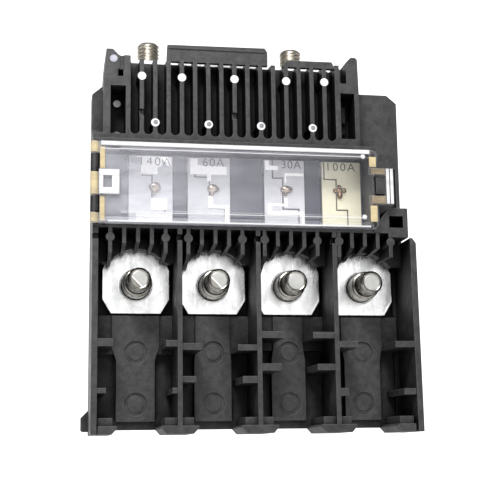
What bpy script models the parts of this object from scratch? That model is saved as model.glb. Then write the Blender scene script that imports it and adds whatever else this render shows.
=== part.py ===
"""Battery fusible-link block.

A black moulded housing carries four bolt-on terminal bays below a fuse
chamber with four stamped fuse links, and a finned conductor guard above it.
All conductors lie in one plane; a hinged clear cover closes the chamber.
Millimetres are used in the tables below and turned into metres by MM.
Frame: +X right, +Z up, the front faces -Y, the rear mounting face is y = 0,
and z = 0 is the row of output studs.
"""

import math

import bmesh
import bpy
from mathutils import Matrix, Vector

MM = 0.001

# ---------------------------------------------------------------- depths (y)
REAR = 0.0              # rear mounting face
SLAB_BACK = -3.0        # back of the moulded slab
SLAB_FRONT = -6.2       # slab face behind the conductors
SHELF_FRONT = -7.1      # shelf and tongue below each plate
TONGUE_FRONT = -7.6
BAY_FLOOR = -5.0        # floor of the terminal bays
SHEET_BACK = -6.5       # conductors, 1.5 mm sheet
SHEET_FRONT = -8.0
WEB_BACK = -8.3         # moulded web in front of the busbar
WEB_FRONT = -10.6
FLANGE_FRONT = -8.6     # right-hand flange and left-hand wing
LINK_BACK = -10.6       # fuse links, 0.8 mm sheet
LINK_FRONT = -11.4
FIN_FRONT = -16.1       # cooling fins and both ears
WALL_FRONT = -19.8      # walls of the terminal bays, comb
CHAMBER_FRONT = -20.6   # rim of the fuse chamber
COVER_BACK = -20.9
COVER_FRONT = -22.0

# ---------------------------------------------------------- widths, heights
HALF_WIDTH = 39.9
RIGHT_WALL = 40.3       # outer face of the last bay's wall
WALL = 1.4
PITCH = 19.1            # pitch of the output studs
BAYS = [PITCH * (i - 1.5) for i in range(4)]
BOTTOM = -36.5
FLOOR_BOTTOM = -35.2
COMB_FOOT = 5.0         # lower edge of the comb block
COMB_LEDGE = 10.9
BEAM_BOTTOM = 12.2      # beam between the bays and the chamber
CHAMBER_BOTTOM = 13.9
CHAMBER_TOP = 32.6
CHAMBER_LEFT = -37.6
CHAMBER_RIGHT = 29.2
RIM_BOTTOM = 34.0       # fin block
CHANNEL_BOTTOM = 36.4
WEB_TOP = 56.6

# ------------------------------------------------------------ fins and comb
FIN_COUNT = 15
FIN_FIRST = -28.0
FIN_PITCH = 3.325
FIN_WIDTH = 1.05
COMB_FIRST = -35.7
COMB_BAY_PITCH = 18.67
COMB_PITCH = 3.3
COMB_RIB = 0.9
COMB_FEET = (6.0, 8.4, 8.8, 8.3, 6.2)
STUD_CLEARANCE = 8.5    # round relief of the comb over each stud

# --------------------------------------------------- guide stubs in the bays
# (bay, side, x of the free end, upper edge, lower edge)
STUBS = (
    (0, -1, -34.9, -14.3, -16.1), (0, 1, -22.4, -14.6, -16.1),
    (0, -1, -36.4, -25.8, -27.0), (0, 1, -20.9, -25.8, -27.1),
    (1, -1, -13.8, -15.3, -16.9), (1, 1, -5.2, -15.6, -17.0),
    (1, -1, -15.3, -23.1, -24.5), (1, 1, -4.1, -23.1, -24.7),
    (2, -1, 6.2, -12.4, -14.0), (2, 1, 13.2, -12.5, -14.0),
    (2, -1, 5.4, -20.1, -21.8), (2, 1, 14.2, -20.2, -21.7),
    (3, -1, 24.4, -14.7, -16.2), (3, 1, 33.9, -14.6, -16.1),
    (3, -1, 21.8, -26.0, -27.8), (3, 1, 35.7, -26.1, -27.6),
)
STUB_FRONT = -19.5
# half widths of the tongue below each plate, above and below the first stubs
TONGUES = ((5.8, 4.7), (4.3, 4.6), (3.8, 4.3), (5.3, 4.6))

# -------------------------------------------------------------- conductors
# fuse links: left, right, bead x, bead z, first slit x, second slit end x
LINKS = (
    (-30.8, -19.9, -24.3, 24.4, -27.6, -21.6),
    (-16.1, -5.4, -9.9, 24.4, -14.4, -6.6),
    (3.4, 13.8, 8.9, 24.7, 5.4, 12.4),
    (18.4, 28.6, 22.9, 24.75, 18.85, 25.2),
)
LINK_BOTTOM = 15.0
LINK_TOP = 32.2
SLIT = 0.35
SHELF_TOP = 58.4        # busbar shelf that carries the input studs
SHELF_BACK = 15.0
INPUT_X = (-24.5, 14.7)
INPUT_Y = 6.0
M6 = 3.0                # stud radius
COLLAR = 3.55
STUD_TIP = -18.7
HINGE_X = -39.7
HINGE_Y = -21.6


# ------------------------------------------------------------------ helpers
def clear_scene():
    for obj in list(bpy.data.objects):
        bpy.data.objects.remove(obj, do_unlink=True)
    for group in list(bpy.data.collections):
        bpy.data.collections.remove(group)


def collection(name):
    group = bpy.data.collections.new(name)
    bpy.context.scene.collection.children.link(group)
    return group


def material(name, colour, rough, metal=0.0, transmission=0.0):
    mat = bpy.data.materials.new(name)
    mat.use_nodes = True
    shader = mat.node_tree.nodes["Principled BSDF"]
    shader.inputs["Base Color"].default_value = (*colour, 1.0)
    shader.inputs["Roughness"].default_value = rough
    shader.inputs["Metallic"].default_value = metal
    shader.inputs["Transmission Weight"].default_value = transmission
    return mat


def hold(mesh, name="piece"):
    """Put a mesh into the scene as an object."""
    obj = bpy.data.objects.new(name, mesh)
    bpy.context.scene.collection.objects.link(obj)
    return obj


def primitive(bm):
    """Mesh object from bmesh; corners snap to 0.1 micrometre so that faces meet exactly."""
    for vert in bm.verts:
        vert.co = [round(c, 7) for c in vert.co]
    mesh = bpy.data.meshes.new("primitive")
    bm.to_mesh(mesh)
    bm.free()
    return hold(mesh)


def plate(outline, low, high, axis="Y"):
    """Flat outline with a thickness; outline is (x, z), (y, z) or (x, y) by axis."""
    curve = bpy.data.curves.new("outline", "CURVE")
    curve.dimensions = "2D"
    curve.fill_mode = "BOTH"
    curve.extrude = (high - low) / 2 * MM
    spline = curve.splines.new("POLY")
    spline.points.add(len(outline) - 1)
    for point, (a, b) in zip(spline.points, outline):
        point.co = (a * MM, b * MM, 0.0, 1.0)
    spline.use_cyclic_u = True
    obj = bpy.data.objects.new("outline", curve)
    bpy.context.scene.collection.objects.link(obj)
    graph = bpy.context.evaluated_depsgraph_get()
    mesh = bpy.data.meshes.new_from_object(obj.evaluated_get(graph))
    bpy.data.objects.remove(obj, do_unlink=True)
    bpy.data.curves.remove(curve)
    turn = {
        "Y": Matrix(((1, 0, 0, 0), (0, 0, -1, 0), (0, 1, 0, 0), (0, 0, 0, 1))),
        "X": Matrix(((0, 0, 1, 0), (1, 0, 0, 0), (0, 1, 0, 0), (0, 0, 0, 1))),
        "Z": Matrix.Identity(4),
    }[axis]
    middle = Vector([(low + high) / 2 * MM if name == axis else 0.0 for name in "XYZ"])
    bm = bmesh.new()
    bm.from_mesh(mesh)
    bpy.data.meshes.remove(mesh)
    bmesh.ops.remove_doubles(bm, verts=bm.verts, dist=0.000001)
    bmesh.ops.transform(bm, matrix=Matrix.Translation(middle) @ turn, verts=bm.verts)
    bmesh.ops.recalc_face_normals(bm, faces=bm.faces)
    return primitive(bm)


def box(x0, x1, y0, y1, z0, z1):
    bm = bmesh.new()
    bmesh.ops.create_cube(bm, size=MM)
    bmesh.ops.scale(bm, vec=(x1 - x0, y1 - y0, z1 - z0), verts=bm.verts)
    middle = Vector(((x0 + x1) / 2, (y0 + y1) / 2, (z0 + z1) / 2)) * MM
    bmesh.ops.translate(bm, vec=middle, verts=bm.verts)
    return primitive(bm)


def drum(a, b, radius, low, high, axis="Y", count=24):
    """Cylinder; (a, b) is its centre as (x, z) about Y and as (x, y) about Z."""
    bm = bmesh.new()
    bmesh.ops.create_cone(
        bm, cap_ends=True, segments=count, radius1=radius * MM, radius2=radius * MM,
        depth=(high - low) * MM, matrix=Matrix.Rotation(math.pi / count, 4, "Z"),
    )
    middle = (low + high) / 2
    if axis == "Y":
        bmesh.ops.rotate(bm, matrix=Matrix.Rotation(math.radians(90.0), 3, "X"), verts=bm.verts)
        place = Vector((a, middle, b))
    else:
        place = Vector((a, b, middle))
    bmesh.ops.translate(bm, vec=place * MM, verts=bm.verts)
    return primitive(bm)


def ring(cx, cz, radius, count=24, start=0.0, turn=360.0):
    steps = count if turn >= 360.0 else count + 1
    points = []
    for i in range(steps):
        angle = math.radians(start + turn * i / count)
        points.append((cx + radius * math.cos(angle), cz + radius * math.sin(angle)))
    return points


def combine(target, others, operation):
    for other in others:
        mod = target.modifiers.new("step", "BOOLEAN")
        mod.operation = operation
        mod.solver = "EXACT"
        mod.object = other
        graph = bpy.context.evaluated_depsgraph_get()
        mesh = bpy.data.meshes.new_from_object(target.evaluated_get(graph))
        target.modifiers.clear()
        old = target.data
        target.data = mesh
        bpy.data.meshes.remove(old)
        bpy.data.objects.remove(other, do_unlink=True)
    return target


def add(target, *others):
    return combine(target, others, "UNION")


def cut(target, *others):
    return combine(target, others, "DIFFERENCE")


def tidy(obj):
    """Weld corners and merge coplanar faces, keeping the surface closed."""
    bm = bmesh.new()
    bm.from_mesh(obj.data)
    bmesh.ops.remove_doubles(bm, verts=bm.verts, dist=0.000005)
    bmesh.ops.delete(bm, geom=[e for e in bm.edges if not e.link_faces], context="EDGES")
    plain = bm.copy()
    bmesh.ops.dissolve_limit(
        bm, angle_limit=math.radians(0.2), verts=bm.verts, edges=bm.edges, delimit=set()
    )
    bmesh.ops.triangulate(bm, faces=bm.faces)
    if any(len(edge.link_faces) != 2 for edge in bm.edges):
        bm.free()
        bm = plain
    bmesh.ops.recalc_face_normals(bm, faces=bm.faces)
    bm.to_mesh(obj.data)
    bm.free()


def finish(obj, name, group, mat):
    tidy(obj)
    obj.name = name
    obj.data.name = name
    obj.data.materials.clear()
    obj.data.materials.append(mat)
    for owner in list(obj.users_collection):
        owner.objects.unlink(obj)
    group.objects.link(obj)
    return obj


# ------------------------------------------------------------------ housing
def slab():
    """Backbone of the housing: everything behind the conductors."""
    outline = [
        (-HALF_WIDTH, FLOOR_BOTTOM), (HALF_WIDTH, FLOOR_BOTTOM), (HALF_WIDTH, 49.4),
        (37.3, 51.6), (27.6, 51.6), (27.4, 58.3), (26.9, 58.9), (25.7, 58.9),
        (22.8, 55.5), (-30.0, 55.5), (-30.2, 56.6), (-33.7, 56.6), (-35.2, 58.1),
        (-36.8, 58.1), (-37.3, 50.7), (-HALF_WIDTH, 48.5),
    ]
    body = plate(outline, SLAB_FRONT, SLAB_BACK)
    # bay floors lie deeper than the rest
    for x in BAYS:
        half = PITCH / 2 - 0.5
        cut(body, box(x - half, x + half, -9.0, BAY_FLOOR, FLOOR_BOTTOM - 1.0, COMB_FOOT + 4.0))
    return body


def terminal_bays(body):
    inner = HALF_WIDTH - WALL
    add(
        body,
        box(-HALF_WIDTH, -inner, WALL_FRONT, -4.0, BOTTOM, BEAM_BOTTOM + 0.4),
        plate(
            [(RIGHT_WALL - WALL, BOTTOM), (RIGHT_WALL, BOTTOM), (RIGHT_WALL - 0.3, 9.8),
             (39.1, 11.1), (inner, 11.1), (inner, 0.0)],
            WALL_FRONT, -4.0,
        ),
    )
    for x in (-PITCH, 0.0, PITCH):
        add(body, box(x - 0.55, x + 0.55, WALL_FRONT, -4.0, BOTTOM, BEAM_BOTTOM + 0.4))
    # the walls stop short of the beam in front
    for x in (-inner - 0.7, -PITCH, 0.0, PITCH):
        cut(body, box(x - 0.8, x + 0.8, WALL_FRONT - 1.0, WALL_FRONT + 2.2, 9.3, 10.8))
    for x, (above, below) in zip(BAYS, TONGUES):
        stop = -16.9 if x < 0 else -15.9
        # seat of the plate, shelf between the walls, tongue that runs down the floor
        add(
            body,
            box(x - 6.2, x + 6.2, SLAB_FRONT, -4.5, -16.0, COMB_FOOT + 4.5),
            box(x - PITCH / 2, x + PITCH / 2, SHELF_FRONT, -4.6, stop, -7.4),
            plate(
                [(x - below, -33.2), (x + below, -33.2), (x + below, -18.6),
                 (x + below + 0.3 * (above - below), -17.4), (x + above, -15.4),
                 (x + above, -7.5), (x - above, -7.5), (x - above, -15.4),
                 (x - below - 0.3 * (above - below), -17.4), (x - below, -18.6)],
                TONGUE_FRONT, -4.5,
            ),
        )
        # dished ejector marks
        cut(
            body,
            drum(x + 0.1, -16.45, 2.8, TONGUE_FRONT - 1.0, TONGUE_FRONT + 0.4, count=28),
            drum(x + 0.1, -29.1, 2.8, TONGUE_FRONT - 1.0, TONGUE_FRONT + 0.4, count=28),
        )
        add(
            body,
            drum(x + 0.1, -16.45, 1.9, TONGUE_FRONT + 0.2, -5.0, count=24),
            drum(x + 0.1, -29.1, 1.9, TONGUE_FRONT + 0.2, -5.0, count=24),
        )
        # bottom flange: solid corners, an open middle with sloping ends
        left, right = x - PITCH / 2, x + PITCH / 2
        for side, wall in ((1, left), (-1, right)):
            corner = plate(
                [(wall, BOTTOM), (wall + side * 3.2, BOTTOM), (wall + side * 4.4, FLOOR_BOTTOM),
                 (wall + side * 4.4, -34.6), (wall, -34.6)],
                WALL_FRONT, -4.0,
            )
            step = box(min(wall, wall + side * 3.4), max(wall, wall + side * 3.4),
                       -18.2, -4.1, -34.9, -32.7)
            add(body, corner, step)
    for bay, side, end, top, low in STUBS:
        wall = BAYS[bay] + side * (PITCH / 2 - 0.3)
        if abs(wall) > PITCH * 1.5:
            wall = side * (inner + 0.2)
        add(body, box(min(wall, end), max(wall, end), STUB_FRONT, -4.2, low, top))
    return body


def comb(body):
    inner = HALF_WIDTH - WALL + 0.2
    # web over the plate necks, ledge, and the beam above them
    add(
        body,
        box(-inner, inner, -9.5, WEB_BACK, COMB_FOOT, BEAM_BOTTOM + 0.5),
        box(-inner, inner, -12.0, -9.2, COMB_FOOT, COMB_LEDGE),
        box(-HALF_WIDTH, 38.1, WALL_FRONT, WEB_BACK, BEAM_BOTTOM, CHAMBER_BOTTOM - 0.6),
        box(-HALF_WIDTH, 30.6, CHAMBER_FRONT + 1.2, WEB_BACK, BEAM_BOTTOM + 0.3, CHAMBER_BOTTOM),
    )
    for x in BAYS:
        cut(body, drum(x, 0.0, STUD_CLEARANCE, -14.0, -8.2, count=40))
    for bay in range(4):
        for i, foot in enumerate(COMB_FEET):
            x = COMB_FIRST + COMB_BAY_PITCH * bay + COMB_PITCH * i
            reach = math.sqrt(STUD_CLEARANCE ** 2 - (x - BAYS[bay]) ** 2) - 0.55
            add(body, plate([(WALL_FRONT + 0.15, foot), (-11.6, reach), (-9.1, reach),
                             (-9.1, BEAM_BOTTOM + 0.4), (WALL_FRONT + 0.15, BEAM_BOTTOM + 0.4)],
                            x - COMB_RIB / 2, x + COMB_RIB / 2, axis="X"))
            if i in (0, 4):
                add(body, drum(x, 9.9, 1.05, WALL_FRONT + 0.05, -11.0, count=16))
    return body


def chamber(body):
    left, right = CHAMBER_LEFT, CHAMBER_RIGHT
    add(
        body,
        box(-HALF_WIDTH, left, CHAMBER_FRONT, -6.0, BEAM_BOTTOM + 0.2, RIM_BOTTOM),
        box(right, right + 1.4, CHAMBER_FRONT, -6.0, BEAM_BOTTOM + 0.2, RIM_BOTTOM),
        box(-HALF_WIDTH, right + 1.4, CHAMBER_FRONT, WEB_BACK, CHAMBER_TOP, RIM_BOTTOM),
    )
    # floor in front of the busbar, open behind the links
    edges = [left] + [x for link in LINKS for x in link[:2]] + [right + 0.2]
    for low, high in zip(edges[::2], edges[1::2]):
        if high - low > 0.8:
            add(body, box(low if low == left else low + 0.3, high - 0.3, -10.2, WEB_BACK,
                          28.6, CHAMBER_TOP + 0.4))
    # catch for the cover's latch loop
    add(
        body,
        plate([(-22.5, 21.5), (-22.5, 25.4), (-22.0, 26.0), (-6.0, 26.0), (-6.0, 21.5)],
              29.45, 31.65, axis="X"),
    )
    # hinge eyes on the left wall
    for low, high in ((15.6, 19.2), (25.5, 29.5)):
        add(
            body,
            drum(HINGE_X, HINGE_Y, 0.95, low, high, axis="Z", count=16),
            box(-40.2, -39.2, HINGE_Y, CHAMBER_FRONT + 0.6, low, high),
        )
        cut(body, drum(HINGE_X, HINGE_Y, 0.62, low - 0.5, high + 0.5, axis="Z", count=12))
    return body


def side_socket(body):
    add(
        body,
        plate([(30.0, 12.4), (38.1, 12.4), (38.1, 18.6), (33.4, 18.6), (32.3, 17.4), (30.0, 14.0)],
              WALL_FRONT, -6.0),
        box(33.0, 38.1, WALL_FRONT, -6.0, 11.2, 13.0),
    )
    cut(body, box(33.3, 36.9, -25.0, -10.5, 13.6, 16.6))
    return body


def finned_guard(body):
    last = FIN_FIRST + FIN_PITCH * (FIN_COUNT - 1)
    west, east = FIN_FIRST - FIN_PITCH, last + FIN_PITCH
    add(
        body,
        box(-HALF_WIDTH, 27.6, FIN_FRONT, WEB_BACK, RIM_BOTTOM - 0.4, CHANNEL_BOTTOM + 0.2),
        box(west - 0.6, east + 0.6, FIN_FRONT, WEB_BACK, CHANNEL_BOTTOM, WEB_TOP),
    )
    radius = (FIN_PITCH - FIN_WIDTH) / 2
    for i in range(FIN_COUNT + 1):
        x = west + FIN_PITCH * (i + 0.5)
        outline = ring(x, CHANNEL_BOTTOM + radius, radius, 8, 180.0, 180.0)
        outline += [(x + radius, 60.0), (x - radius, 60.0)]
        cut(body, plate(outline, FIN_FRONT - 2.0, WEB_FRONT))
    # fins end a little below the web
    cut(body, plate([(FIN_FRONT - 1.0, 55.7), (WEB_FRONT - 0.02, 56.3), (WEB_FRONT - 0.02, 60.0),
                     (FIN_FRONT - 1.0, 60.0)], west + 0.7, east - 0.7, axis="X"))
    # insulating walls that stand on the fins
    add(
        body,
        plate([(-21.8, 55.65), (3.9, 55.65), (3.9, 59.2), (3.2, 60.3), (-21.6, 60.0)],
              FIN_FRONT + 0.3, FIN_FRONT + 1.6),
        box(-21.4, 3.3, FIN_FRONT + 0.05, FIN_FRONT + 0.7, 59.0, 59.4),
        plate([(7.6, 55.65), (21.6, 55.65), (20.7, 57.5), (8.9, 57.4)],
              FIN_FRONT + 0.3, FIN_FRONT + 1.6),
    )
    # two fins are notched
    for index in (0, 7):
        x = FIN_FIRST + FIN_PITCH * index
        cut(body, box(x - 0.8, x + 0.8, FIN_FRONT - 1.0, FIN_FRONT + 1.1, 41.2, 42.9))
    # ejector bosses on the fins
    for index, z in ((0, 51.4), (3, 51.4), (7, 51.6), (11, 51.7), (14, 51.9),
                     (1, 39.5), (5, 39.5), (9, 39.6), (13, 39.6)):
        x = FIN_FIRST + FIN_PITCH * index
        add(body, drum(x, z, 1.1, FIN_FRONT - 0.05, WEB_FRONT + 0.5, count=16))
    return body


def left_ear(body):
    add(
        body,
        plate([(-37.4, RIM_BOTTOM + 1.0), (-31.0, RIM_BOTTOM + 1.0), (-30.9, 56.6), (-33.7, 56.6),
               (-35.2, 58.1), (-36.8, 58.1), (-37.2, 52.4), (-36.9, 52.2), (-36.9, 51.2),
               (-37.4, 51.0)], FIN_FRONT, -5.0),
        box(-HALF_WIDTH, -37.0, -11.6, -5.0, RIM_BOTTOM + 0.5, 38.4),
        plate([(-HALF_WIDTH, 38.0), (-37.0, 38.0), (-37.0, 51.0), (-HALF_WIDTH, 48.5)],
              FLANGE_FRONT, -5.0),
    )
    cut(
        body,
        box(-35.7, -31.95, FIN_FRONT - 1.0, -8.4, 36.4, 48.7),
        box(-33.9, -32.6, FIN_FRONT - 1.0, -9.0, 51.1, 53.0),
        box(-33.5, -32.4, FIN_FRONT - 1.0, FIN_FRONT + 0.5, 52.8, 57.5),
    )
    add(
        body,
        drum(-35.0, 55.6, 1.15, FIN_FRONT - 0.05, FIN_FRONT + 1.0, count=16),
        drum(-33.7, 46.3, 1.2, -8.9, -7.0, count=16),
        drum(-33.7, 37.9, 1.2, -8.9, -7.0, count=16),
    )
    return body


def right_ear(body):
    add(
        body,
        plate([(22.0, RIM_BOTTOM + 1.0), (27.6, RIM_BOTTOM + 1.0), (27.6, 49.2), (27.4, 58.3),
               (26.9, 58.9), (25.7, 58.9), (22.0, 55.0)], FIN_FRONT, -5.0),
        plate([(29.6, 18.0), (HALF_WIDTH, 18.0), (HALF_WIDTH, 49.4), (37.3, 51.6), (27.0, 51.6),
               (27.0, 34.3), (29.6, 34.3)], FLANGE_FRONT, -5.0),
        box(30.0, HALF_WIDTH, FLANGE_FRONT, -5.0, COMB_LEDGE, 19.0),
    )
    cut(
        body,
        box(22.7, 24.4, FIN_FRONT - 1.0, -11.0, 51.8, 60.0),
        box(22.7, 26.4, FIN_FRONT - 1.0, -9.0, 37.1, 49.2),
        box(32.1, 38.9, -12.0, -7.2, 20.6, 31.6),
    )
    add(
        body,
        drum(25.6, 56.1, 1.0, FIN_FRONT - 0.05, FIN_FRONT + 1.0, count=16),
        box(23.6, 25.0, -11.5, -8.0, 42.6, 46.8),
        drum(24.3, 40.9, 1.1, -10.2, -8.0, count=16),
    )
    return body


def shelf_tray(body):
    """Cantilevered tray behind the fins, under the busbar shelf."""
    add(
        body,
        box(-31.2, 22.0, SLAB_FRONT, 16.6, 53.2, 56.7),
        box(-31.2, -29.9, SLAB_FRONT, 16.6, 56.0, 58.4),
        box(20.6, 22.0, SLAB_FRONT, 16.6, 56.0, 58.4),
        box(-31.2, 22.0, 15.4, 16.6, 56.0, 58.4),
    )
    for x in (-31.2, 20.4):
        add(body, plate([(-3.2, 36.0), (-3.2, 53.6), (15.0, 53.6), (12.0, 51.4)], x, x + 1.6,
                        axis="X"))
    for x in INPUT_X:
        cut(body, drum(x, INPUT_Y, 5.1, 54.6, 60.0, axis="Z", count=32))
    return body


def conductor_slots(body):
    """Room for the busbar and the plate necks, with a running gap."""
    cut(
        body,
        box(-31.6, CHAMBER_RIGHT - 0.02, WEB_BACK, SLAB_FRONT, CHAMBER_TOP - 0.5, 36.0),
        box(-29.9, 20.6, WEB_BACK, SLAB_FRONT, 34.0, 60.0),
    )
    for x, link in zip(BAYS, LINKS):
        cut(
            body,
            plate([(x - 8.5, 4.0), (x + 8.5, 4.0), (x + 8.5, 5.6), (x + 6.6, 9.0),
                   (x + 6.6, 12.0), (x - 6.6, 12.0), (x - 6.6, 9.0), (x - 8.5, 5.6)],
                  WEB_BACK, SLAB_FRONT),
            box(link[0] - 0.3, link[1] + 0.3, WEB_BACK, SLAB_FRONT, 9.3, 18.3),
        )
        cut(body, drum(x, 0.0, 5.0, -8.0, -4.4, count=32))
    return body


def rear_frame(body):
    """Feet at the back that stand on the mounting surface, and the left foot."""
    for x0, x1 in ((-38.6, -36.6), (-1.0, 1.0), (36.6, 38.6)):
        add(body, box(x0, x1, -3.4, REAR, -34.0, 30.0))
    for z0, z1 in ((-34.0, -32.0), (-3.0, 3.0), (28.0, 30.0)):
        add(body, box(-38.6, 38.6, -3.4, REAR, z0, z1))
    add(body, plate([(-41.6, -35.2), (-41.1, -35.5), (-39.0, -35.5), (-39.0, -30.0),
                     (-39.7, -30.2), (-41.6, -32.1)], -5.2, -0.6))
    return body


def housing(group, mat):
    body = slab()
    for stage in (terminal_bays, comb, chamber, side_socket, finned_guard, left_ear,
                  right_ear, shelf_tray, conductor_slots, rear_frame):
        body = stage(body)
    return finish(body, "housing", group, mat)


# -------------------------------------------------------------------- cover
def cover(group, mat):
    """Clear cover, modelled closed, hinged along its left edge."""
    pane = [(-38.4, 12.8), (28.5, 12.8)] + ring(28.5, 14.3, 1.5, 6, -90.0, 90.0)[1:]
    pane += ring(28.5, 31.2, 1.5, 6, 0.0, 90.0) + [(-38.4, 32.7)]
    body = plate(pane, COVER_FRONT, COVER_BACK)
    add(
        body,
        box(-33.6, 26.1, COVER_FRONT - 0.9, COVER_FRONT + 0.3, 30.4, 31.1),
        drum(26.1, 30.75, 0.75, COVER_FRONT - 1.0, COVER_FRONT + 0.3, count=16),
        box(-33.6, 26.1, COVER_FRONT - 0.9, COVER_FRONT + 0.3, 15.1, 15.8),
        drum(26.1, 15.45, 0.75, COVER_FRONT - 1.0, COVER_FRONT + 0.3, count=16),
        box(-38.4, 28.4, COVER_FRONT - 0.4, COVER_FRONT + 0.3, 31.5, 32.7),
        box(-38.4, 28.4, COVER_FRONT - 0.4, COVER_FRONT + 0.3, 12.8, 13.6),
        box(-38.7, -33.7, COVER_FRONT - 0.7, COVER_FRONT + 0.3, 19.5, 25.7),
        box(27.8, 34.0, COVER_FRONT - 0.2, COVER_BACK, 26.4, 28.1),
        box(27.8, 34.0, COVER_FRONT - 0.2, COVER_BACK, 19.0, 21.1),
        box(32.0, 34.0, COVER_FRONT - 0.3, COVER_BACK, 19.0, 28.1),
    )
    # skirts that reach into the chamber along its long sides
    for part in (
        box(-37.0, 28.6, COVER_BACK - 0.3, -18.9, 31.2, 31.8),
        box(-37.0, 28.6, COVER_BACK - 0.3, -18.9, 14.5, 15.1),
    ):
        add(body, part)
    cut(
        body,
        box(29.1, 32.0, COVER_FRONT - 1.0, COVER_BACK + 1.0, 21.1, 26.4),
        box(-37.6, -35.6, COVER_FRONT - 1.0, COVER_FRONT - 0.1, 21.2, 24.1),
    )
    # hinge knuckles with their pegs
    for low, high in ((12.9, 15.2), (19.6, 25.1), (29.9, 32.6)):
        add(
            body,
            drum(HINGE_X, HINGE_Y, 0.95, low, high, axis="Z", count=16),
            box(HINGE_X + 0.2, -38.1, COVER_FRONT + 0.05, COVER_BACK - 0.05, low, high),
        )
    for low, high in ((14.8, 16.8), (18.0, 20.0), (24.7, 26.7), (28.3, 30.3)):
        add(body, drum(HINGE_X, HINGE_Y, 0.32, low, high, axis="Z", count=10))
    body = finish(body, "clear_cover", group, mat)
    # origin on the hinge axis
    shift = (HINGE_X * MM, HINGE_Y * MM, 22.8 * MM)
    for vert in body.data.vertices:
        vert.co = [c - s for c, s in zip(vert.co, shift)]
    body.location = shift
    return body


# --------------------------------------------------------------- conductors
def busbar(group, mat):
    bar = box(-29.6, 20.3, SHEET_FRONT, SHEET_BACK, 33.0, SHELF_TOP)
    add(
        bar,
        box(-31.2, 28.8, SHEET_FRONT, SHEET_BACK, 29.4, 35.2),
        box(-29.6, 20.3, SHEET_FRONT, SHELF_BACK, SHELF_TOP - 1.4, SHELF_TOP),
    )
    for x in INPUT_X:
        cut(bar, drum(x, INPUT_Y, M6 + 0.3, 50.0, 62.0, axis="Z", count=32))
    return finish(bar, "busbar", group, mat)


def fuse_link(number, group, mat):
    """S-shaped link: two flags joined by a narrow neck under the tin bead."""
    left, right, bx, bz, slit_x, end_x = LINKS[number]
    link = box(left, right, LINK_FRONT, LINK_BACK, LINK_BOTTOM, LINK_TOP)
    add(
        link,
        box(left, right, LINK_FRONT, WEB_BACK, LINK_TOP - 0.8, LINK_TOP),
        box(left, right, LINK_FRONT, WEB_BACK, LINK_BOTTOM, LINK_BOTTOM + 0.8),
    )
    neck = bx - 0.9
    y0, y1 = LINK_FRONT - 1.0, WEB_BACK + 1.0
    upper, lower = bz + 3.0, bz - 5.0
    cut(
        link,
        box(slit_x, slit_x + SLIT, y0, y1, upper, LINK_TOP + 1.0),
        box(slit_x, neck + SLIT, y0, y1, upper - SLIT, upper),
        box(neck, neck + SLIT, y0, y1, bz + 0.9, upper - 0.1),
        box(neck, neck + SLIT, y0, y1, lower, bz - 0.9),
        box(neck, end_x, y0, y1, lower - SLIT, lower),
        box(end_x - SLIT, end_x, y0, y1, LINK_BOTTOM - 1.0, lower - 0.1),
    )
    return finish(link, f"fuse_link_{number + 1}", group, mat)


def tin_bead(number, group, mat):
    _, _, bx, bz, _, _ = LINKS[number]
    front = LINK_FRONT - 0.3
    bead = plate(
        [(bx - 1.7, bz - 0.6), (bx - 1.3, bz - 1.0), (bx + 1.3, bz - 1.0), (bx + 1.8, bz - 0.5),
         (bx + 1.8, bz + 0.6), (bx + 1.3, bz + 1.0), (bx - 1.3, bz + 1.0), (bx - 1.7, bz + 0.5)],
        front - 0.7, front,
    )
    add(bead, box(bx - 0.6, bx + 0.6, front - 0.5, front, bz - 1.9, bz + 1.5))
    return finish(bead, f"tin_bead_{number + 1}", group, mat)


def terminal_plate(number, group, mat):
    x = BAYS[number]
    left, right = LINKS[number][0], LINKS[number][1]
    outline = [
        (x - 6.1, -6.95), (x + 6.1, -6.95), (x + 8.2, -3.4), (x + 8.2, COMB_FOOT - 1.2),
        (x + 5.9, 9.8), (right, 11.6), (right, 18.0), (left, 18.0), (left, 11.6), (x - 5.9, 9.8),
        (x - 8.2, COMB_FOOT - 1.2), (x - 8.2, -3.4),
    ]
    sheet = plate(outline, SHEET_FRONT, SHEET_BACK)
    cut(sheet, drum(x, 0.0, COLLAR + 0.1, -12.0, -4.0, count=32))
    return finish(sheet, f"terminal_plate_{number + 1}", group, mat)


def turned(profile, count=32):
    """Solid of revolution about z; the profile is (radius, height), top to bottom."""
    mesh = bpy.data.meshes.new("profile")
    points = [(radius * MM, 0.0, height * MM) for radius, height in profile]
    mesh.from_pydata(points, [(i, i + 1) for i in range(len(points) - 1)], [])
    obj = hold(mesh)
    screw = obj.modifiers.new("turn", "SCREW")
    screw.axis = "Z"
    screw.steps = count
    screw.render_steps = count
    screw.use_merge_vertices = True
    screw.merge_threshold = 0.00001
    return obj


def place_stud(obj, name, group, mat):
    obj.name = name
    obj.data.name = name
    obj.data.materials.append(mat)
    bpy.context.scene.collection.objects.unlink(obj)
    group.objects.link(obj)
    return obj


def output_stud(number, group, mat):
    """Stud pressed through a terminal plate: head, neck, collar, threaded tip.

    Its own z axis points forward, so the object is turned by 90 degrees.
    """
    tip = -STUD_TIP
    stud = turned([
        (0.0, tip), (2.3, tip), (2.85, tip - 0.5), (2.85, 13.6), (COLLAR, 13.2), (COLLAR, 8.3),
        (M6, 8.3), (M6, 6.2), (4.6, 6.2), (4.6, 4.8), (0.0, 4.8),
    ])
    stud.location = (BAYS[number] * MM, 0.0, 0.0)
    stud.rotation_euler = (math.radians(90.0), 0.0, 0.0)
    return place_stud(stud, f"output_stud_{number + 1}", group, mat)


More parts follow.
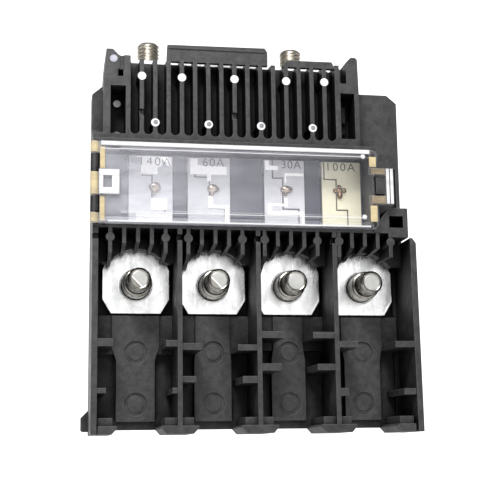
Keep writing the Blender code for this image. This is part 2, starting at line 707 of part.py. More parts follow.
def input_stud(number, group, mat):
    """Upright stud on the busbar shelf, its head in the tray pocket."""
    height = 9.3
    stud = turned([
        (0.0, height), (2.4, height), (M6, height - 0.6), (M6, -1.7), (4.6, -1.7), (4.6, -3.3),
        (0.0, -3.3),
    ])
    stud.location = (INPUT_X[number] * MM, INPUT_Y * MM, SHELF_TOP * MM)
    return place_stud(stud, f"input_stud_{number + 1}", group, mat)


def main():
    clear_scene()
    group = collection("fusible_link_block")
    black = material("black_pbt", (0.035, 0.035, 0.037), 0.42)
    clear = material("clear_polycarbonate", (0.93, 0.94, 0.92), 0.12, transmission=0.9)
    tin = material("tin_plated_copper", (0.80, 0.80, 0.78), 0.30, metal=1.0)
    links = [
        material("fuse_link_140", (0.84, 0.84, 0.84), 0.35, metal=1.0),
        material("fuse_link_60", (0.82, 0.82, 0.83), 0.35, metal=1.0),
        material("fuse_link_30", (0.80, 0.80, 0.79), 0.35, metal=1.0),
        material("fuse_link_100", (0.86, 0.82, 0.66), 0.38, metal=1.0),
    ]
    solder = material("tin_solder", (0.62, 0.60, 0.58), 0.35, metal=1.0)
    steel = material("tin_plated_steel", (0.66, 0.66, 0.65), 0.28, metal=1.0)
    zinc = material("yellow_zinc_steel", (0.62, 0.58, 0.45), 0.36, metal=1.0)

    housing(group, black)
    cover(group, clear)
    busbar(group, tin)
    for i in range(4):
        fuse_link(i, group, links[i])
        tin_bead(i, group, solder)
        terminal_plate(i, group, tin)
        output_stud(i, group, steel)
    for i in range(2):
        input_stud(i, group, zinc)


main()
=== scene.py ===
"""Looks of the fusible-link block: camera, light, materials and fine pieces.

Pieces are drawn in millimetres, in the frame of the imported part: x right, y
backwards, z up. MM turns them into metres.
"""

import math

import bmesh
import bpy
from mathutils import Matrix, Vector


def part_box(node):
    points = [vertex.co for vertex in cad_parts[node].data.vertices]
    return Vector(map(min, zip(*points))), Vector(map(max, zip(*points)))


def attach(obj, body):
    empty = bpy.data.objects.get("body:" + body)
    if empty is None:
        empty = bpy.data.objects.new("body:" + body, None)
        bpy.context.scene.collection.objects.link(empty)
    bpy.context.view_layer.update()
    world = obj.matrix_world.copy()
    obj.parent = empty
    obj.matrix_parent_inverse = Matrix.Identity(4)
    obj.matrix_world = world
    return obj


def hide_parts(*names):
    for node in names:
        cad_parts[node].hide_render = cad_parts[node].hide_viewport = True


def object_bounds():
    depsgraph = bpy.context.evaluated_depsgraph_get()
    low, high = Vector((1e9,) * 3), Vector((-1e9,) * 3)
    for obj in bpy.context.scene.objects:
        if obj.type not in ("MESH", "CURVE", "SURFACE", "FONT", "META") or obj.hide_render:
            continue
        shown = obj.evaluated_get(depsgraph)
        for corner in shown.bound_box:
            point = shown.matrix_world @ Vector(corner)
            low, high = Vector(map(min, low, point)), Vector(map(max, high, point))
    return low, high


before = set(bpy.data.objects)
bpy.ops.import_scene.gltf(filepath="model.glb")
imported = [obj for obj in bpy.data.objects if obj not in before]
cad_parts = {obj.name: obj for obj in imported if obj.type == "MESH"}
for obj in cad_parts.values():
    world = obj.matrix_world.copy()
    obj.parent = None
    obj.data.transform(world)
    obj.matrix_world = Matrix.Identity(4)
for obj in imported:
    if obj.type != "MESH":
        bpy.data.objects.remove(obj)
cad_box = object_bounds()
MM = 0.001

# ------------------------------------------------- depths and places in mm
FIN_FRONT = -16.1        # front of the fins and of both ears
EAR_FLOOR = -8.8         # front of the bosses in the ear windows
WEB_FACE = -10.65        # moulded floor between the fuse links
PLATE_FRONT = -8.0
COVER_FRONT = -22.0
BEVEL_BACK = -22.38      # raised strips along the cover's long edges
RAIL_BACK = -22.88       # rails on the cover
RAIL_END_BACK = -22.85
LOOP_BACK = -22.7        # square frame at the hinge end of the cover
ARM_BACK = -22.2         # arms of the latch loop
BAR_BACK = -22.3         # bar of the latch loop
HINGE = (-39.7, -21.6)   # x and y of the cover's hinge axis
FIN_FIRST = -28.0
FIN_PITCH = 3.325
THREAD_PITCH = 1.0
RINGS_PER_TURN = 9       # rings of the mesh in one turn of a thread

# ------------------------------------------------------------------- camera
camera = bpy.data.cameras.new("camera")
camera.lens = 81.03
camera.sensor_width = 36.0
camera.clip_start = 0.01
view = bpy.data.objects.new("camera", camera)
view.location = (-0.05083, -0.28340, -0.04145)
view.rotation_euler = [math.radians(a) for a in (100.302, 0.802, -10.337)]
bpy.context.scene.collection.objects.link(view)
bpy.context.scene.camera = view


# ---------------------------------------------------------------- materials
class Mat:
    """Small helper that builds a node material around a Principled shader."""

    def __init__(self, name):
        self.mat = bpy.data.materials.new(name)
        self.mat.use_nodes = True
        self.tree = self.mat.node_tree
        self.shader = self.tree.nodes["Principled BSDF"]
        self.coords = self.node("ShaderNodeTexCoord").outputs["Object"]

    def node(self, kind, **values):
        node = self.tree.nodes.new(kind)
        for key, value in values.items():
            setattr(node, key, value)
        return node

    def link(self, a, b):
        self.tree.links.new(a, b)

    def set(self, **values):
        for key, value in values.items():
            self.shader.inputs[key.replace("_", " ")].default_value = value

    def noise(self, scale, detail=3.0, rough=0.55, stretch=None):
        source = self.coords
        if stretch:
            mapping = self.node("ShaderNodeMapping")
            mapping.inputs["Scale"].default_value = stretch
            self.link(source, mapping.inputs["Vector"])
            source = mapping.outputs["Vector"]
        node = self.node("ShaderNodeTexNoise")
        node.inputs["Scale"].default_value = scale
        node.inputs["Detail"].default_value = detail
        node.inputs["Roughness"].default_value = rough
        self.link(source, node.inputs["Vector"])
        return node.outputs["Fac"]

    def ramp(self, source, stops):
        node = self.node("ShaderNodeValToRGB")
        elements = node.color_ramp.elements
        while len(elements) < len(stops):
            elements.new(0.5)
        for element, (pos, colour) in zip(elements, stops):
            element.position = pos
            element.color = colour if len(colour) == 4 else (*colour, 1.0)
        self.link(source, node.inputs["Fac"])
        return node.outputs["Color"]

    def spread(self, source, low, high, start=0.3, end=0.7):
        node = self.node("ShaderNodeMapRange")
        node.inputs["From Min"].default_value = start
        node.inputs["From Max"].default_value = end
        node.inputs["To Min"].default_value = low
        node.inputs["To Max"].default_value = high
        self.link(source, node.inputs["Value"])
        return node.outputs["Result"]

    def bump(self, source, distance, strength=1.0, normal=None):
        node = self.node("ShaderNodeBump")
        node.inputs["Strength"].default_value = strength
        node.inputs["Distance"].default_value = distance
        self.link(source, node.inputs["Height"])
        if normal:
            self.link(normal, node.inputs["Normal"])
        return node.outputs["Normal"]

    def soft_edges(self, radius):
        node = self.node("ShaderNodeBevel")
        node.samples = 4
        node.inputs["Radius"].default_value = radius
        return node.outputs["Normal"]

    def edge_mask(self, soft, low, high):
        """0 on flat faces, 1 along rounded-over edges."""
        flat = self.node("ShaderNodeNewGeometry").outputs["True Normal"]
        dot = self.node("ShaderNodeVectorMath", operation="DOT_PRODUCT")
        self.link(soft, dot.inputs[0])
        self.link(flat, dot.inputs[1])
        return self.spread(dot.outputs["Value"], 1.0, 0.0, low, high)

    def mix(self, factor, first, second):
        node = self.node("ShaderNodeMix", data_type="RGBA")
        self.link(factor, node.inputs["Factor"])
        for value, socket in ((first, node.inputs["A"]), (second, node.inputs["B"])):
            if isinstance(value, tuple):
                socket.default_value = (*value, 1.0)
            else:
                self.link(value, socket)
        return node.outputs["Result"]


def plastic():
    """Satin black moulding compound: mottling; pale edges, partly rubbed wear and partly painted
    highlight; painted shade that darkens the hollows and dulls their reflection.
    """
    m = Mat("black_plastic")
    grain = m.noise(3200.0, 2.0)
    mottle = m.noise(520.0, 6.0, 0.72)
    cloud = m.noise(170.0, 4.0)
    soft = m.soft_edges(0.00022)
    # ambient occlusion finds the hollows for the painted shade below
    recess_shade = m.node("ShaderNodeAmbientOcclusion", samples=8)
    recess_shade.inputs["Distance"].default_value = 0.009
    unshaded = recess_shade.outputs["AO"]
    base = m.ramp(mottle, [(0.34, (0.006, 0.006, 0.0065)), (0.68, (0.042, 0.041, 0.043))])
    # pale rounded edges: partly rubbed wear, partly painted highlight
    base = m.mix(m.edge_mask(soft, 0.80, 0.985), base, (0.12, 0.12, 0.125))
    # painted shade: base colour goes near black and reflection weaker in the hollows
    m.link(m.mix(m.spread(unshaded, 0.0, 1.0, 0.15, 0.7), (0.005, 0.005, 0.006), base),
           m.shader.inputs["Base Color"])
    m.link(m.spread(unshaded, 0.08, 0.54, 0.2, 0.85), m.shader.inputs["Specular IOR Level"])
    m.link(m.spread(cloud, 0.40, 0.54), m.shader.inputs["Roughness"])
    m.link(m.bump(grain, 0.00005, 0.5, m.bump(mottle, 0.00016, 0.7, soft)),
           m.shader.inputs["Normal"])
    return m.mat


def metal(name, colour, rough, shade=0.84, scratch=0.25, stretch=(1.0, 1.0, 1.0), metallic=1.0):
    """Plated metal: cloudy colour, uneven gloss, fine scratches and soft edges."""
    m = Mat(name)
    cloud = m.noise(330.0, 4.0, 0.6)
    fine = m.noise(1500.0, 3.0, 0.6, stretch)
    dark = tuple(c * shade for c in colour)
    m.link(m.ramp(cloud, [(0.36, dark), (0.6, colour)]), m.shader.inputs["Base Color"])
    m.link(m.spread(fine, *rough), m.shader.inputs["Roughness"])
    m.set(Metallic=metallic)
    m.link(m.bump(fine, 0.00003, scratch, m.soft_edges(0.00015)), m.shader.inputs["Normal"])
    return m.mat


def plate_tin():
    """Bright tin plating with long fine scratches and dull patches."""
    m = Mat("tin_sheet")
    cloud = m.noise(260.0, 5.0, 0.65)
    scratch = m.noise(900.0, 4.0, 0.7, (1.0, 1.0, 0.16))
    m.link(m.ramp(cloud, [(0.38, (0.74, 0.745, 0.75)), (0.56, (0.93, 0.93, 0.93))]),
           m.shader.inputs["Base Color"])
    m.link(m.spread(scratch, 0.2, 0.42), m.shader.inputs["Roughness"])
    m.set(Metallic=1.0)
    m.link(m.bump(scratch, 0.00004, 0.5, m.bump(cloud, 0.0001, 0.4, m.soft_edges(0.00015))),
           m.shader.inputs["Normal"])
    return m.mat


def clear_plastic(name, tint, haze, edge, rough=0.1, fade=None):
    """Aged clear plastic: a tinted veil that varies in streaks and grows thicker along its rounded
    edges as a painted sheen.

    Over the cover the veil is partly its own milkiness and partly painted glare; with fade, it
    thins out to that share of itself towards the latch, where the painted glare fades.
    """
    m = Mat(name)
    streak = m.noise(140.0, 4.0, 0.6, (0.6, 1.0, 3.0))
    soft = m.soft_edges(0.0003)
    veil = m.spread(streak, haze * 0.75, haze * 1.3)
    # painted glare: the cover's veil thins towards the latch
    if fade:
        split = m.node("ShaderNodeSeparateXYZ")
        m.link(m.coords, split.inputs["Vector"])
        share = m.spread(split.outputs["X"], 1.0, fade, -0.036, 0.026)
        product = m.node("ShaderNodeMath", operation="MULTIPLY")
        m.link(veil, product.inputs[0])
        m.link(share, product.inputs[1])
        veil = product.outputs["Value"]
    # painted sheen: the veil grows thicker along rounded edges
    rim_sheen = m.edge_mask(soft, 0.80, 0.99)
    alpha = m.node("ShaderNodeMix")
    m.link(rim_sheen, alpha.inputs["Factor"])
    m.link(veil, alpha.inputs["A"])
    alpha.inputs["B"].default_value = edge
    m.link(alpha.outputs["Result"], m.shader.inputs["Alpha"])
    m.link(m.ramp(streak, [(0.3, tuple(c * 0.93 for c in tint)), (0.7, tint)]),
           m.shader.inputs["Base Color"])
    m.link(m.spread(streak, rough, rough + 0.12), m.shader.inputs["Roughness"])
    m.set(IOR=1.5)
    m.link(m.bump(streak, 0.00002, 0.2, soft), m.shader.inputs["Normal"])
    return m.mat


def paint(name, colour, rough, metallic=0.0, glow=0.0):
    """Plain coloured surface with light clouding."""
    m = Mat(name)
    cloud = m.noise(700.0, 3.0)
    m.link(m.ramp(cloud, [(0.3, tuple(c * 0.82 for c in colour)), (0.7, colour)]),
           m.shader.inputs["Base Color"])
    m.link(m.spread(cloud, rough, rough + 0.15), m.shader.inputs["Roughness"])
    m.set(Metallic=metallic, Emission_Color=(1.0, 1.0, 1.0, 1.0), Emission_Strength=glow)
    m.link(m.bump(cloud, 0.00002, 0.3), m.shader.inputs["Normal"])
    return m.mat


black = plastic()
tin_sheet = plate_tin()
stud_steel = metal("stud_steel", (0.36, 0.345, 0.31), (0.2, 0.32), 0.6)
stud_face = metal("stud_face", (0.52, 0.52, 0.505), (0.3, 0.42), 0.85)
zinc = metal("yellow_zinc", (0.63, 0.58, 0.49), (0.30, 0.44), 0.7)
solder = metal("solder", (0.58, 0.47, 0.36), (0.14, 0.26), 0.5)
copper_solder = metal("copper_solder", (0.42, 0.25, 0.12), (0.16, 0.3), 0.4)
link_tin = metal("link_tin", (0.74, 0.74, 0.78), (0.40, 0.55), 0.9, 0.3, metallic=0.45)
# stamped white fields; their glow is painted glare, they are no lamp
stamped_white_glare = paint("stamped_white_glare", (1.0, 1.0, 0.99), 0.3, glow=0.3)
link_cream = metal("link_cream", (0.95, 0.90, 0.68), (0.42, 0.55), 0.93, 0.2, metallic=0.3)
ink = paint("rating_stamp", (0.02, 0.016, 0.01), 0.5)
floor_slate = paint("chamber_floor", (0.045, 0.046, 0.075), 0.5)
# ejector marks: white painted highlight, grey and lilac painted reflection
spot_highlight = paint("spot_white_highlight", (0.86, 0.86, 0.88), 0.2)
spot_reflection_lilac = paint("spot_lilac_reflection", (0.46, 0.46, 0.53), 0.2)
spot_centre_reflection = paint("spot_grey_reflection", (0.26, 0.26, 0.27), 0.25)
# white strips: painted highlight on the plates' cut edges and along the stud tips' facet chords
edge_highlight = paint("painted_edge_highlight", (0.95, 0.95, 0.95), 0.3, 0.2)
# the cover's veil is partly painted glare, faded towards the latch
clear = clear_plastic("clear_cover", (0.86, 0.86, 0.94), 0.2, 0.4, fade=0.12)
# white veil: painted highlight on the cover's edge strips and rails; also the white of the loop
# frame and latch bar
white_veil = clear_plastic("cover_bevel", (0.9, 0.9, 0.9), 0.7, 0.85)
aged = clear_plastic("cover_aged", (0.75, 0.62, 0.36), 0.6, 0.75)
golden = clear_plastic("latch_arms", (0.40, 0.32, 0.20), 0.55, 0.8)

# material by the start of a node's name, first match wins; the rest is tin sheet
FINISHES = (
    ("housing", black), ("clear_cover", clear), ("fuse_link_4", link_cream),
    ("fuse_link", link_tin), ("tin_bead", solder), ("output_stud", stud_steel),
    ("input_stud", zinc),
)
for name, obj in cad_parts.items():
    chosen = next((mat for start, mat in FINISHES if name.startswith(start)), tin_sheet)
    for slot in obj.material_slots:
        slot.material = chosen


# -------------------------------------------------------------- mesh helpers
def piece(name, bm, mat, body="base", node=None, smooth=False):
    """Finish a bmesh in millimetres as a visual piece that moves with a body."""
    bmesh.ops.recalc_face_normals(bm, faces=bm.faces)
    bmesh.ops.scale(bm, vec=(MM, MM, MM), verts=bm.verts)
    mesh = bpy.data.meshes.new(name)
    bm.to_mesh(mesh)
    bm.free()
    mesh.materials.append(mat)
    for face in mesh.polygons:
        face.use_smooth = smooth
    obj = bpy.data.objects.new(name, mesh)
    bpy.context.scene.collection.objects.link(obj)
    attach(obj, body)
    if node:
        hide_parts(node)
    return obj


def skin(bm, rows):
    """Close a stack of equal rings of vertices into a solid with flat ends."""
    count = len(rows[0])
    for lower, upper in zip(rows, rows[1:]):
        for i in range(count):
            j = (i + 1) % count
            bm.faces.new((lower[i], lower[j], upper[j], upper[i]))
    bm.faces.new(rows[0])
    bm.faces.new(rows[-1])


def slab(bm, outline, front, back, bevel=0.0):
    """Prism of an (x, z) outline between two depths, its front edge chamfered."""
    middle_x = sum(p[0] for p in outline) / len(outline)
    middle_z = sum(p[1] for p in outline) / len(outline)
    layers = [(back, 0.0), (front + bevel, 0.0)]
    if bevel:
        layers.append((front, bevel))
    rows = []
    for y, inset in layers:
        row = []
        for x, z in outline:
            dx = math.copysign(min(inset, abs(x - middle_x)), middle_x - x)
            dz = math.copysign(min(inset, abs(z - middle_z)), middle_z - z)
            row.append(bm.verts.new((x + dx, y, z + dz)))
        rows.append(row)
    skin(bm, rows)


def rect(x0, z0, x1, z1):
    return [(x0, z0), (x1, z0), (x1, z1), (x0, z1)]


def arc(x, z, radius, angles):
    """Points on a circle about (x, z), at angles in degrees."""
    turns = [math.radians(angle) for angle in angles]
    return [(x + radius * math.cos(turn), z + radius * math.sin(turn)) for turn in turns]


def circle(x, z, radius, count=28):
    return arc(x, z, radius, [360.0 * i / count for i in range(count)])


def lathe(bm, profile, count, centre, axis, thread=None):
    """Turned piece; profile is (radius, height) from the tip down.

    axis is "Y" (tip towards -Y) or "Z". The thread is (low, high, depth) in
    height; it fades in over its first 0.6 mm and out over its last 0.3 mm.
    """
    fine = [profile[0]]
    for (r0, h0), (r1, h1) in zip(profile, profile[1:]):
        steps = 1
        if thread and r0 == r1 and h1 >= thread[0] - 4.0 and h0 <= thread[1] + 0.01:
            steps = max(1, round(abs(h0 - h1) * RINGS_PER_TURN / THREAD_PITCH))
        for k in range(1, steps + 1):
            fine.append((r0 + (r1 - r0) * k / steps, h0 + (h1 - h0) * k / steps))
    rows = []
    for radius, height in fine:
        row = []
        for i in range(count):
            angle = math.tau * i / count
            r = radius
            if thread and thread[0] < height < thread[1]:
                phase = (height / THREAD_PITCH - i / count) % 1.0
                fade = min(1.0, (height - thread[0]) / 0.6, (thread[1] - height) / 0.3)
                r -= thread[2] * fade * min(1.0, 2.4 * min(phase, 1.0 - phase))
            a, b = r * math.cos(angle), r * math.sin(angle)
            spot = (a, -height, b) if axis == "Y" else (a, b, height)
            row.append(bm.verts.new([c + v for c, v in zip(centre, spot)]))
        rows.append(row)
    skin(bm, rows)


def extent(node):
    """Centre, lowest corner and highest corner of a CAD node in millimetres."""
    lowest, highest = ([c / MM for c in corner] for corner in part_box(node))
    return [(a + b) / 2 for a, b in zip(lowest, highest)], lowest, highest


def sharpen(obj):
    """Round stretches of a turned piece shade smoothly, its steps stay sharp."""
    obj.data.set_sharp_from_angle(angle=math.radians(40.0))


# --------------------------------------------------------------------- studs
def output_stud(number):
    """Threaded stud in a terminal plate, tip towards the front."""
    node = f"output_stud_{number}"
    centre, lowest, _ = extent(node)
    x, z = centre[0], centre[2]
    face = lowest[1]
    tip = -face
    bm = bmesh.new()
    lathe(bm, [
        (0.9, tip - 0.12), (2.15, tip - 0.12), (2.3, tip), (2.84, tip - 0.55), (2.84, 13.55),
        (3.0, 13.3), (3.4, 13.2), (3.53, 13.05), (3.53, 8.45), (3.4, 8.3), (2.98, 8.3),
        (2.98, 6.2), (4.55, 6.2), (4.55, 4.85), (0.5, 4.82),
    ], 48, (x, 0.0, z), "Y", (13.6, tip - 0.55, 0.07))
    sharpen(piece(f"threaded_{node}", bm, stud_steel, node=node, smooth=True))
    bm = bmesh.new()
    slab(bm, circle(x, z, 2.02, 40), face + 0.02, face + 0.5, 0.08)
    piece(f"tip_face_{number}", bm, stud_face)


def tip_facet_shade(number):
    """Flat dark segment low on a stud's tip, painted shade of a slanted facet there, with a
    painted highlight along its chord.
    """
    centre, lowest, _ = extent(f"output_stud_{number}")
    face = lowest[1]
    segment = arc(centre[0], centre[2], 1.95, range(165, 286, 12))
    bm = bmesh.new()
    slab(bm, segment, face + 0.01, face + 0.3)
    piece(f"tip_facet_shade_{number}", bm, stud_steel)
    (ax, az), (bx, bz) = segment[0], segment[-1]
    bm = bmesh.new()
    slab(bm, [(ax, az), (bx, bz), (bx + 0.2, bz + 0.2), (ax + 0.2, az + 0.2)],
         face + 0.005, face + 0.3)
    piece(f"tip_chord_highlight_{number}", bm, edge_highlight)


def pressed_ring(number):
    """Flat ring on the plate that closes the gap round the stud's collar."""
    centre = extent(f"output_stud_{number}")[0]
    level = -extent(f"terminal_plate_{number}")[1][1]
    section = [(3.57, level + 0.04), (3.9, level + 0.04), (4.1, level + 0.01),
               (4.1, level - 0.05), (3.57, level - 0.05), (3.57, level + 0.04)]
    bm = bmesh.new()
    lathe(bm, section, 56, (centre[0], 0.0, centre[2]), "Y")
    # the section ends where it starts, so the two flat ends go and the rings merge
    bmesh.ops.delete(bm, geom=[f for f in bm.faces if len(f.verts) > 4], context="FACES_ONLY")
    bmesh.ops.remove_doubles(bm, verts=bm.verts, dist=0.0001)
    piece(f"pressed_ring_{number}", bm, tin_sheet, smooth=True)


def input_stud(number):
    """Upright threaded stud on the busbar's shelf."""
    node = f"input_stud_{number}"
    centre, lowest, highest = extent(node)
    top, base = highest[2], lowest[2]
    bm = bmesh.new()
    lathe(bm, [
        (0.8, top - 0.1), (2.1, top - 0.1), (2.4, top), (2.98, top - 0.6), (2.98, base + 1.6),
        (4.55, base + 1.6), (4.55, base + 0.02), (0.6, base + 0.02),
    ], 48, (centre[0], centre[1], 0.0), "Z", (base + 3.6, top - 0.55, 0.42))
    sharpen(piece(f"threaded_{node}", bm, zinc, node=node, smooth=True))


for number in (1, 2, 3, 4):
    output_stud(number)
    if number < 3:
        tip_facet_shade(number)
    pressed_ring(number)
for number in (1, 2):
    input_stud(number)

# --------------------------------------------------------------- solder beads
# fused lumps of each bead: offset x, offset z, radii along x, y and z
LUMPS = (
    ((0.0, 0.0, 1.45, 0.75, 1.35), (-0.9, 0.1, 0.75, 0.55, 0.8), (-0.35, -1.4, 0.5, 0.45, 0.7)),
    ((0.0, 0.0, 1.45, 0.75, 1.2), (1.0, -0.1, 0.7, 0.5, 0.75), (-0.2, -1.2, 0.5, 0.45, 0.75)),
    ((0.0, 0.0, 1.5, 0.75, 1.1), (1.0, 0.05, 0.75, 0.55, 0.75), (-0.1, -1.1, 0.45, 0.45, 0.6)),
    ((0.0, 0.0, 1.0, 0.7, 0.85), (1.15, 0.1, 0.7, 0.6, 0.7), (-1.1, 0.0, 0.7, 0.6, 0.65),
     (0.05, -1.25, 0.75, 0.65, 0.85), (-0.05, 1.0, 0.55, 0.5, 0.65)),
)


def solder_bead(number, lumps):
    node = f"tin_bead_{number}"
    centre, _, highest = extent(node)
    bm = bmesh.new()
    for dx, dz, rx, ry, rz in lumps:
        place = Matrix.Translation((centre[0] + dx, highest[1] - 0.05, centre[2] + dz))
        bmesh.ops.create_icosphere(bm, subdivisions=3, radius=1.0,
                                   matrix=place @ Matrix.Diagonal((rx, ry, rz, 1.0)))
    bead = piece(f"bead_{number}", bm, copper_solder if number == 4 else solder,
                 node=node, smooth=True)
    fuse = bead.modifiers.new("fuse", "REMESH")
    fuse.mode = "VOXEL"
    fuse.voxel_size = 0.11 * MM
    fuse.use_smooth_shade = True
    relax = bead.modifiers.new("relax", "SMOOTH")
    relax.factor = 0.5
    relax.iterations = 4


for number, lumps in enumerate(LUMPS, 1):
    solder_bead(number, lumps)

# ----------------------------------------------------------------- fuse links
link_front = extent("fuse_link_1")[1][1]
# bright stamped fields on the first three links, glowing as painted glare; outlines in (x, z)
FIELDS = (
    (
        [(-28.9, 31.9), (-27.8, 31.9), (-27.8, 27.6), (-23.7, 27.6), (-23.7, 29.4), (-22.6, 29.6),
         (-22.6, 31.9), (-20.2, 31.9), (-20.2, 29.8), (-21.0, 29.8), (-21.0, 32.1), (-28.9, 32.1)],
        rect(-25.3, 18.5, -21.3, 21.5),
        rect(-29.0, 15.5, -20.0, 17.9),
    ),
    (
        [(-15.4, 31.9), (-15.4, 27.9), (-11.2, 27.9), (-11.2, 26.2), (-10.2, 26.2), (-10.2, 27.9),
         (-6.2, 27.9), (-6.2, 30.0), (-13.6, 30.2), (-13.6, 31.9)],
        [(-10.9, 22.4), (-10.9, 19.2), (-6.8, 19.2), (-6.8, 15.6), (-5.7, 15.6), (-5.7, 20.1),
         (-9.7, 20.1), (-9.7, 22.4)],
    ),
    (
        [(3.7, 32.0), (3.7, 29.6), (7.0, 29.6), (7.0, 30.6), (4.7, 30.8), (4.7, 32.0)],
        [(8.7, 26.4), (9.1, 26.4), (9.1, 28.2), (13.6, 28.2), (13.6, 28.9), (8.7, 28.9)],
        [(8.6, 22.4), (8.6, 20.9), (4.2, 20.9), (4.2, 18.0), (13.0, 18.0), (13.0, 15.7),
         (13.6, 15.7), (13.6, 18.9), (5.3, 18.9), (5.3, 20.2), (9.3, 20.2), (9.3, 22.4)],
    ),
)
for number, outlines in enumerate(FIELDS, 1):
    bm = bmesh.new()
    for outline in outlines:
        slab(bm, outline, link_front - 0.1, link_front - 0.005)
    piece(f"stamped_field_{number}", bm, stamped_white_glare)


def stamp(name, body, spot, size, spacing, thin=-0.012):
    """Rating in plain characters, as a thin raised mesh; spot is its centre (x, z)."""
    curve = bpy.data.curves.new(name, "FONT")
    curve.body = body
    curve.size = size * MM
    curve.space_character = spacing
    curve.offset = thin * size * MM
    curve.extrude = 0.04 * MM
    curve.align_x = "CENTER"
    curve.align_y = "CENTER"
    helper = bpy.data.objects.new(name, curve)
    bpy.context.scene.collection.objects.link(helper)
    graph = bpy.context.evaluated_depsgraph_get()
    mesh = bpy.data.meshes.new_from_object(helper.evaluated_get(graph))
    bpy.data.objects.remove(helper, do_unlink=True)
    place = Matrix.Translation((spot[0] * MM, (link_front - 0.12) * MM, spot[1] * MM))
    mesh.transform(place @ Matrix.Rotation(math.radians(90.0), 4, "X"))
    mesh.materials.clear()
    mesh.materials.append(ink)
    obj = bpy.data.objects.new(name, mesh)
    bpy.context.scene.collection.objects.link(obj)
    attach(obj, "base")


stamp("rating_140", "140A", (-24.4, 30.7), 3.1, 1.3)
stamp("rating_60", "60A", (-9.6, 30.9), 3.1, 1.15)
stamp("rating_30", "30A", (10.4, 31.0), 3.0, 1.1)
stamp("rating_100", "100A", (23.3, 30.8), 3.0, 1.3)


# -------------------------------------------------------- details on the base
def chamber_floor():
    """Slate-coloured floor between the links."""
    bm = bmesh.new()
    for x0, x1 in ((-37.4, -31.2), (-19.4, -16.5), (-5.0, 3.0), (14.2, 18.0), (28.8, 29.1)):
        slab(bm, rect(x0, 15.5, x1, 32.4), WEB_FACE - 0.1, WEB_FACE)
    piece("chamber_floor", bm, floor_slate)


def ejector_spots():
    """Ejector marks on the fins (discs above, rings with a grey centre below) and ears; their
    white is painted highlight and their grey and lilac painted reflection of the polished, dished
    marks.
    """
    white, grey, lilac = bmesh.new(), bmesh.new(), bmesh.new()
    for index, z in ((0, 51.4), (3, 51.4), (7, 51.6), (11, 51.7), (14, 51.9),
                     (1, 39.5), (5, 39.5), (9, 39.6), (13, 39.6)):
        x = FIN_FIRST + FIN_PITCH * index
        slab(white, circle(x, z, 1.05), FIN_FRONT - 0.12, FIN_FRONT, 0.05)
        if z < 45.0:
            slab(grey, circle(x + 0.1, z + 0.1, 0.6, 20), FIN_FRONT - 0.18, FIN_FRONT - 0.05, 0.04)
    slab(lilac, circle(-35.0, 55.6, 0.95), FIN_FRONT - 0.12, FIN_FRONT, 0.05)
    slab(white, circle(-33.7, 46.2, 0.95), EAR_FLOOR - 0.2, EAR_FLOOR, 0.05)
    slab(grey, circle(-33.7, 37.9, 1.0), EAR_FLOOR - 0.2, EAR_FLOOR, 0.05)
    piece("ejector_spots", white, spot_highlight)
    piece("ejector_centres", grey, spot_centre_reflection)
    piece("ear_spot", lilac, spot_reflection_lilac)


def plate_edges():
    """Cut lower right edges of plates 2 to 4, which catch the light."""
    bm = bmesh.new()
    for number, start in ((2, 0.55), (3, 0.0), (4, 0.0)):
        x = extent(f"output_stud_{number}")[0][0]
        bx, bz = x + 8.2, -3.4
        ax, az = x + 6.1 + 2.1 * start, -6.95 + 3.55 * start
        slab(bm, [(ax, az), (bx, bz), (bx - 0.02, bz + 1.6), (bx - 0.4, bz + 1.6),
                  (bx - 0.42, bz + 0.1), (ax - 0.4, az + 0.15)], PLATE_FRONT - 0.09, PLATE_FRONT)
    piece("plate_edges", bm, edge_highlight)


chamber_floor()
ejector_spots()
plate_edges()


# ------------------------------------------------------- details on the cover
def cover_strips(name, mat, rects, back, height, bevel):
    """Raised strips of one kind on the cover."""
    bm = bmesh.new()
    for corners in rects:
        slab(bm, rect(*corners), back - height, back, bevel)
    piece(name, bm, mat, body="cover")


def cover_highlight_strips():
    """White strips along both long edges and on the two rails with round ends: painted highlight
    where the cover's bevels and rails catch the light.
    """
    bm = bmesh.new()
    for corners in ((-38.2, 31.6, 28.0, 32.6), (-36.5, 13.0, 27.8, 13.4)):
        slab(bm, rect(*corners), BEVEL_BACK - 0.1, BEVEL_BACK, 0.05)
    for corners in ((-38.0, 30.55, 26.1, 30.75), (-33.4, 15.1, 26.1, 15.3)):
        slab(bm, rect(*corners), RAIL_BACK - 0.08, RAIL_BACK)
    for z in (30.75, 15.45):
        slab(bm, circle(26.1, z, 0.55, 20), RAIL_END_BACK - 0.07, RAIL_END_BACK)
    piece("cover_highlight_strips", bm, white_veil, body="cover")


def aged_flange():
    """Yellowed hinge edge, hinge knuckles and latch end."""
    bm = bmesh.new()
    for corners in ((-38.4, 13.2, -37.2, 19.2), (-38.4, 26.0, -37.2, 31.4),
                    (27.9, 14.5, 29.7, 18.6), (27.9, 28.4, 29.7, 31.0)):
        slab(bm, rect(*corners), COVER_FRONT - 0.1, COVER_FRONT, 0.04)
    for bottom, top in ((12.95, 15.15), (19.65, 25.05), (29.95, 32.55)):
        lathe(bm, [(0.6, top), (0.93, top), (1.0, top - 0.1), (1.0, bottom + 0.1),
                   (0.93, bottom), (0.6, bottom)], 24, (*HINGE, 0.0), "Z")
    piece("aged_flange", bm, aged, body="cover")


cover_highlight_strips()
cover_strips("loop_frame", white_veil,
             ((-38.6, 24.1, -33.8, 25.6), (-38.6, 19.6, -33.8, 21.2),
              (-38.6, 21.2, -37.6, 24.1), (-35.6, 21.2, -33.8, 24.1)), LOOP_BACK, 0.12, 0.05)
aged_flange()
cover_strips("latch_arms", golden, ((28.2, 26.5, 31.9, 28.0), (28.2, 19.1, 31.9, 21.0)),
             ARM_BACK, 0.1, 0.05)
cover_strips("latch_bar", white_veil, ((32.1, 19.1, 32.9, 28.0), (33.1, 19.1, 33.9, 28.0)),
             BAR_BACK, 0.12, 0.05)


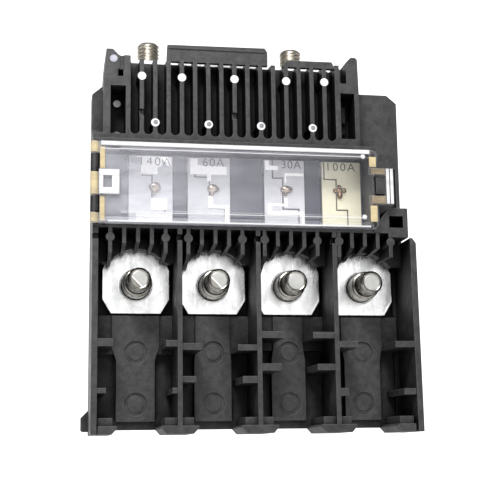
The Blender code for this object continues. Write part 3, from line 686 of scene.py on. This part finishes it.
# -------------------------------------------------------- backdrop and light
def sweep(name, outline, half):
    """Studio surface: a (y, z) line drawn out along x, in metres."""
    bm = bmesh.new()
    rows = [[bm.verts.new((x, y, z)) for x in (-half, half)] for y, z in outline]
    for a, b in zip(rows, rows[1:]):
        bm.faces.new((a[0], a[1], b[1], b[0]))
    mesh = bpy.data.meshes.new(name)
    bm.to_mesh(mesh)
    bm.free()
    for face in mesh.polygons:
        face.use_smooth = True
    obj = bpy.data.objects.new(name, mesh)
    bpy.context.scene.collection.objects.link(obj)
    return obj


def backdrop_paper(name, glow):
    """Pale paper; the wall's glow keeps the background white."""
    m = Mat(name)
    m.link(m.ramp(m.noise(3.0), [(0.3, (0.90, 0.90, 0.90)), (0.7, (0.93, 0.93, 0.93))]),
           m.shader.inputs["Base Color"])
    m.set(Roughness=0.8, Emission_Color=(1.0, 1.0, 1.0, 1.0), Emission_Strength=glow)
    return m.mat


def area(name, place, target, size, power):
    light = bpy.data.lights.new(name, "AREA")
    light.shape = "SQUARE"
    light.size = size
    light.energy = power
    obj = bpy.data.objects.new(name, light)
    obj.location = place
    aim = Vector(target) - Vector(place)
    obj.rotation_euler = aim.to_track_quat("-Z", "Y").to_euler()
    bpy.context.scene.collection.objects.link(obj)


ground = cad_box[0][2] - 0.09
wall_foot, bend = 1.0, 0.5
curve = [(wall_foot + y, ground + bend + z)
         for y, z in arc(0.0, 0.0, bend, range(-90, 1, 10))]
floor = sweep("floor", [(-0.9, ground), (wall_foot, ground)], 1.8)
wall = sweep("backdrop", curve + [(wall_foot + bend, ground + 1.5)], 1.4)
floor.data.materials.append(backdrop_paper("floor_paper", 0.0))
wall.data.materials.append(backdrop_paper("wall_paper", 0.95))

world = bpy.data.worlds.new("studio")
world.use_nodes = True
background = world.node_tree.nodes["Background"]
background.inputs["Color"].default_value = (1.0, 1.0, 1.0, 1.0)
background.inputs["Strength"].default_value = 0.13
bpy.context.scene.world = world
bpy.context.scene.view_settings.view_transform = "Standard"

# broad softbox mirrored by the front faces, harder key from the upper left
area("softbox", (0.18, -0.92, 0.28), (0.0, 0.0, 0.01), 0.75, 2.4)
area("key", (-0.22, -0.62, 0.62), (0.0, 0.0, 0.01), 0.22, 9.5)
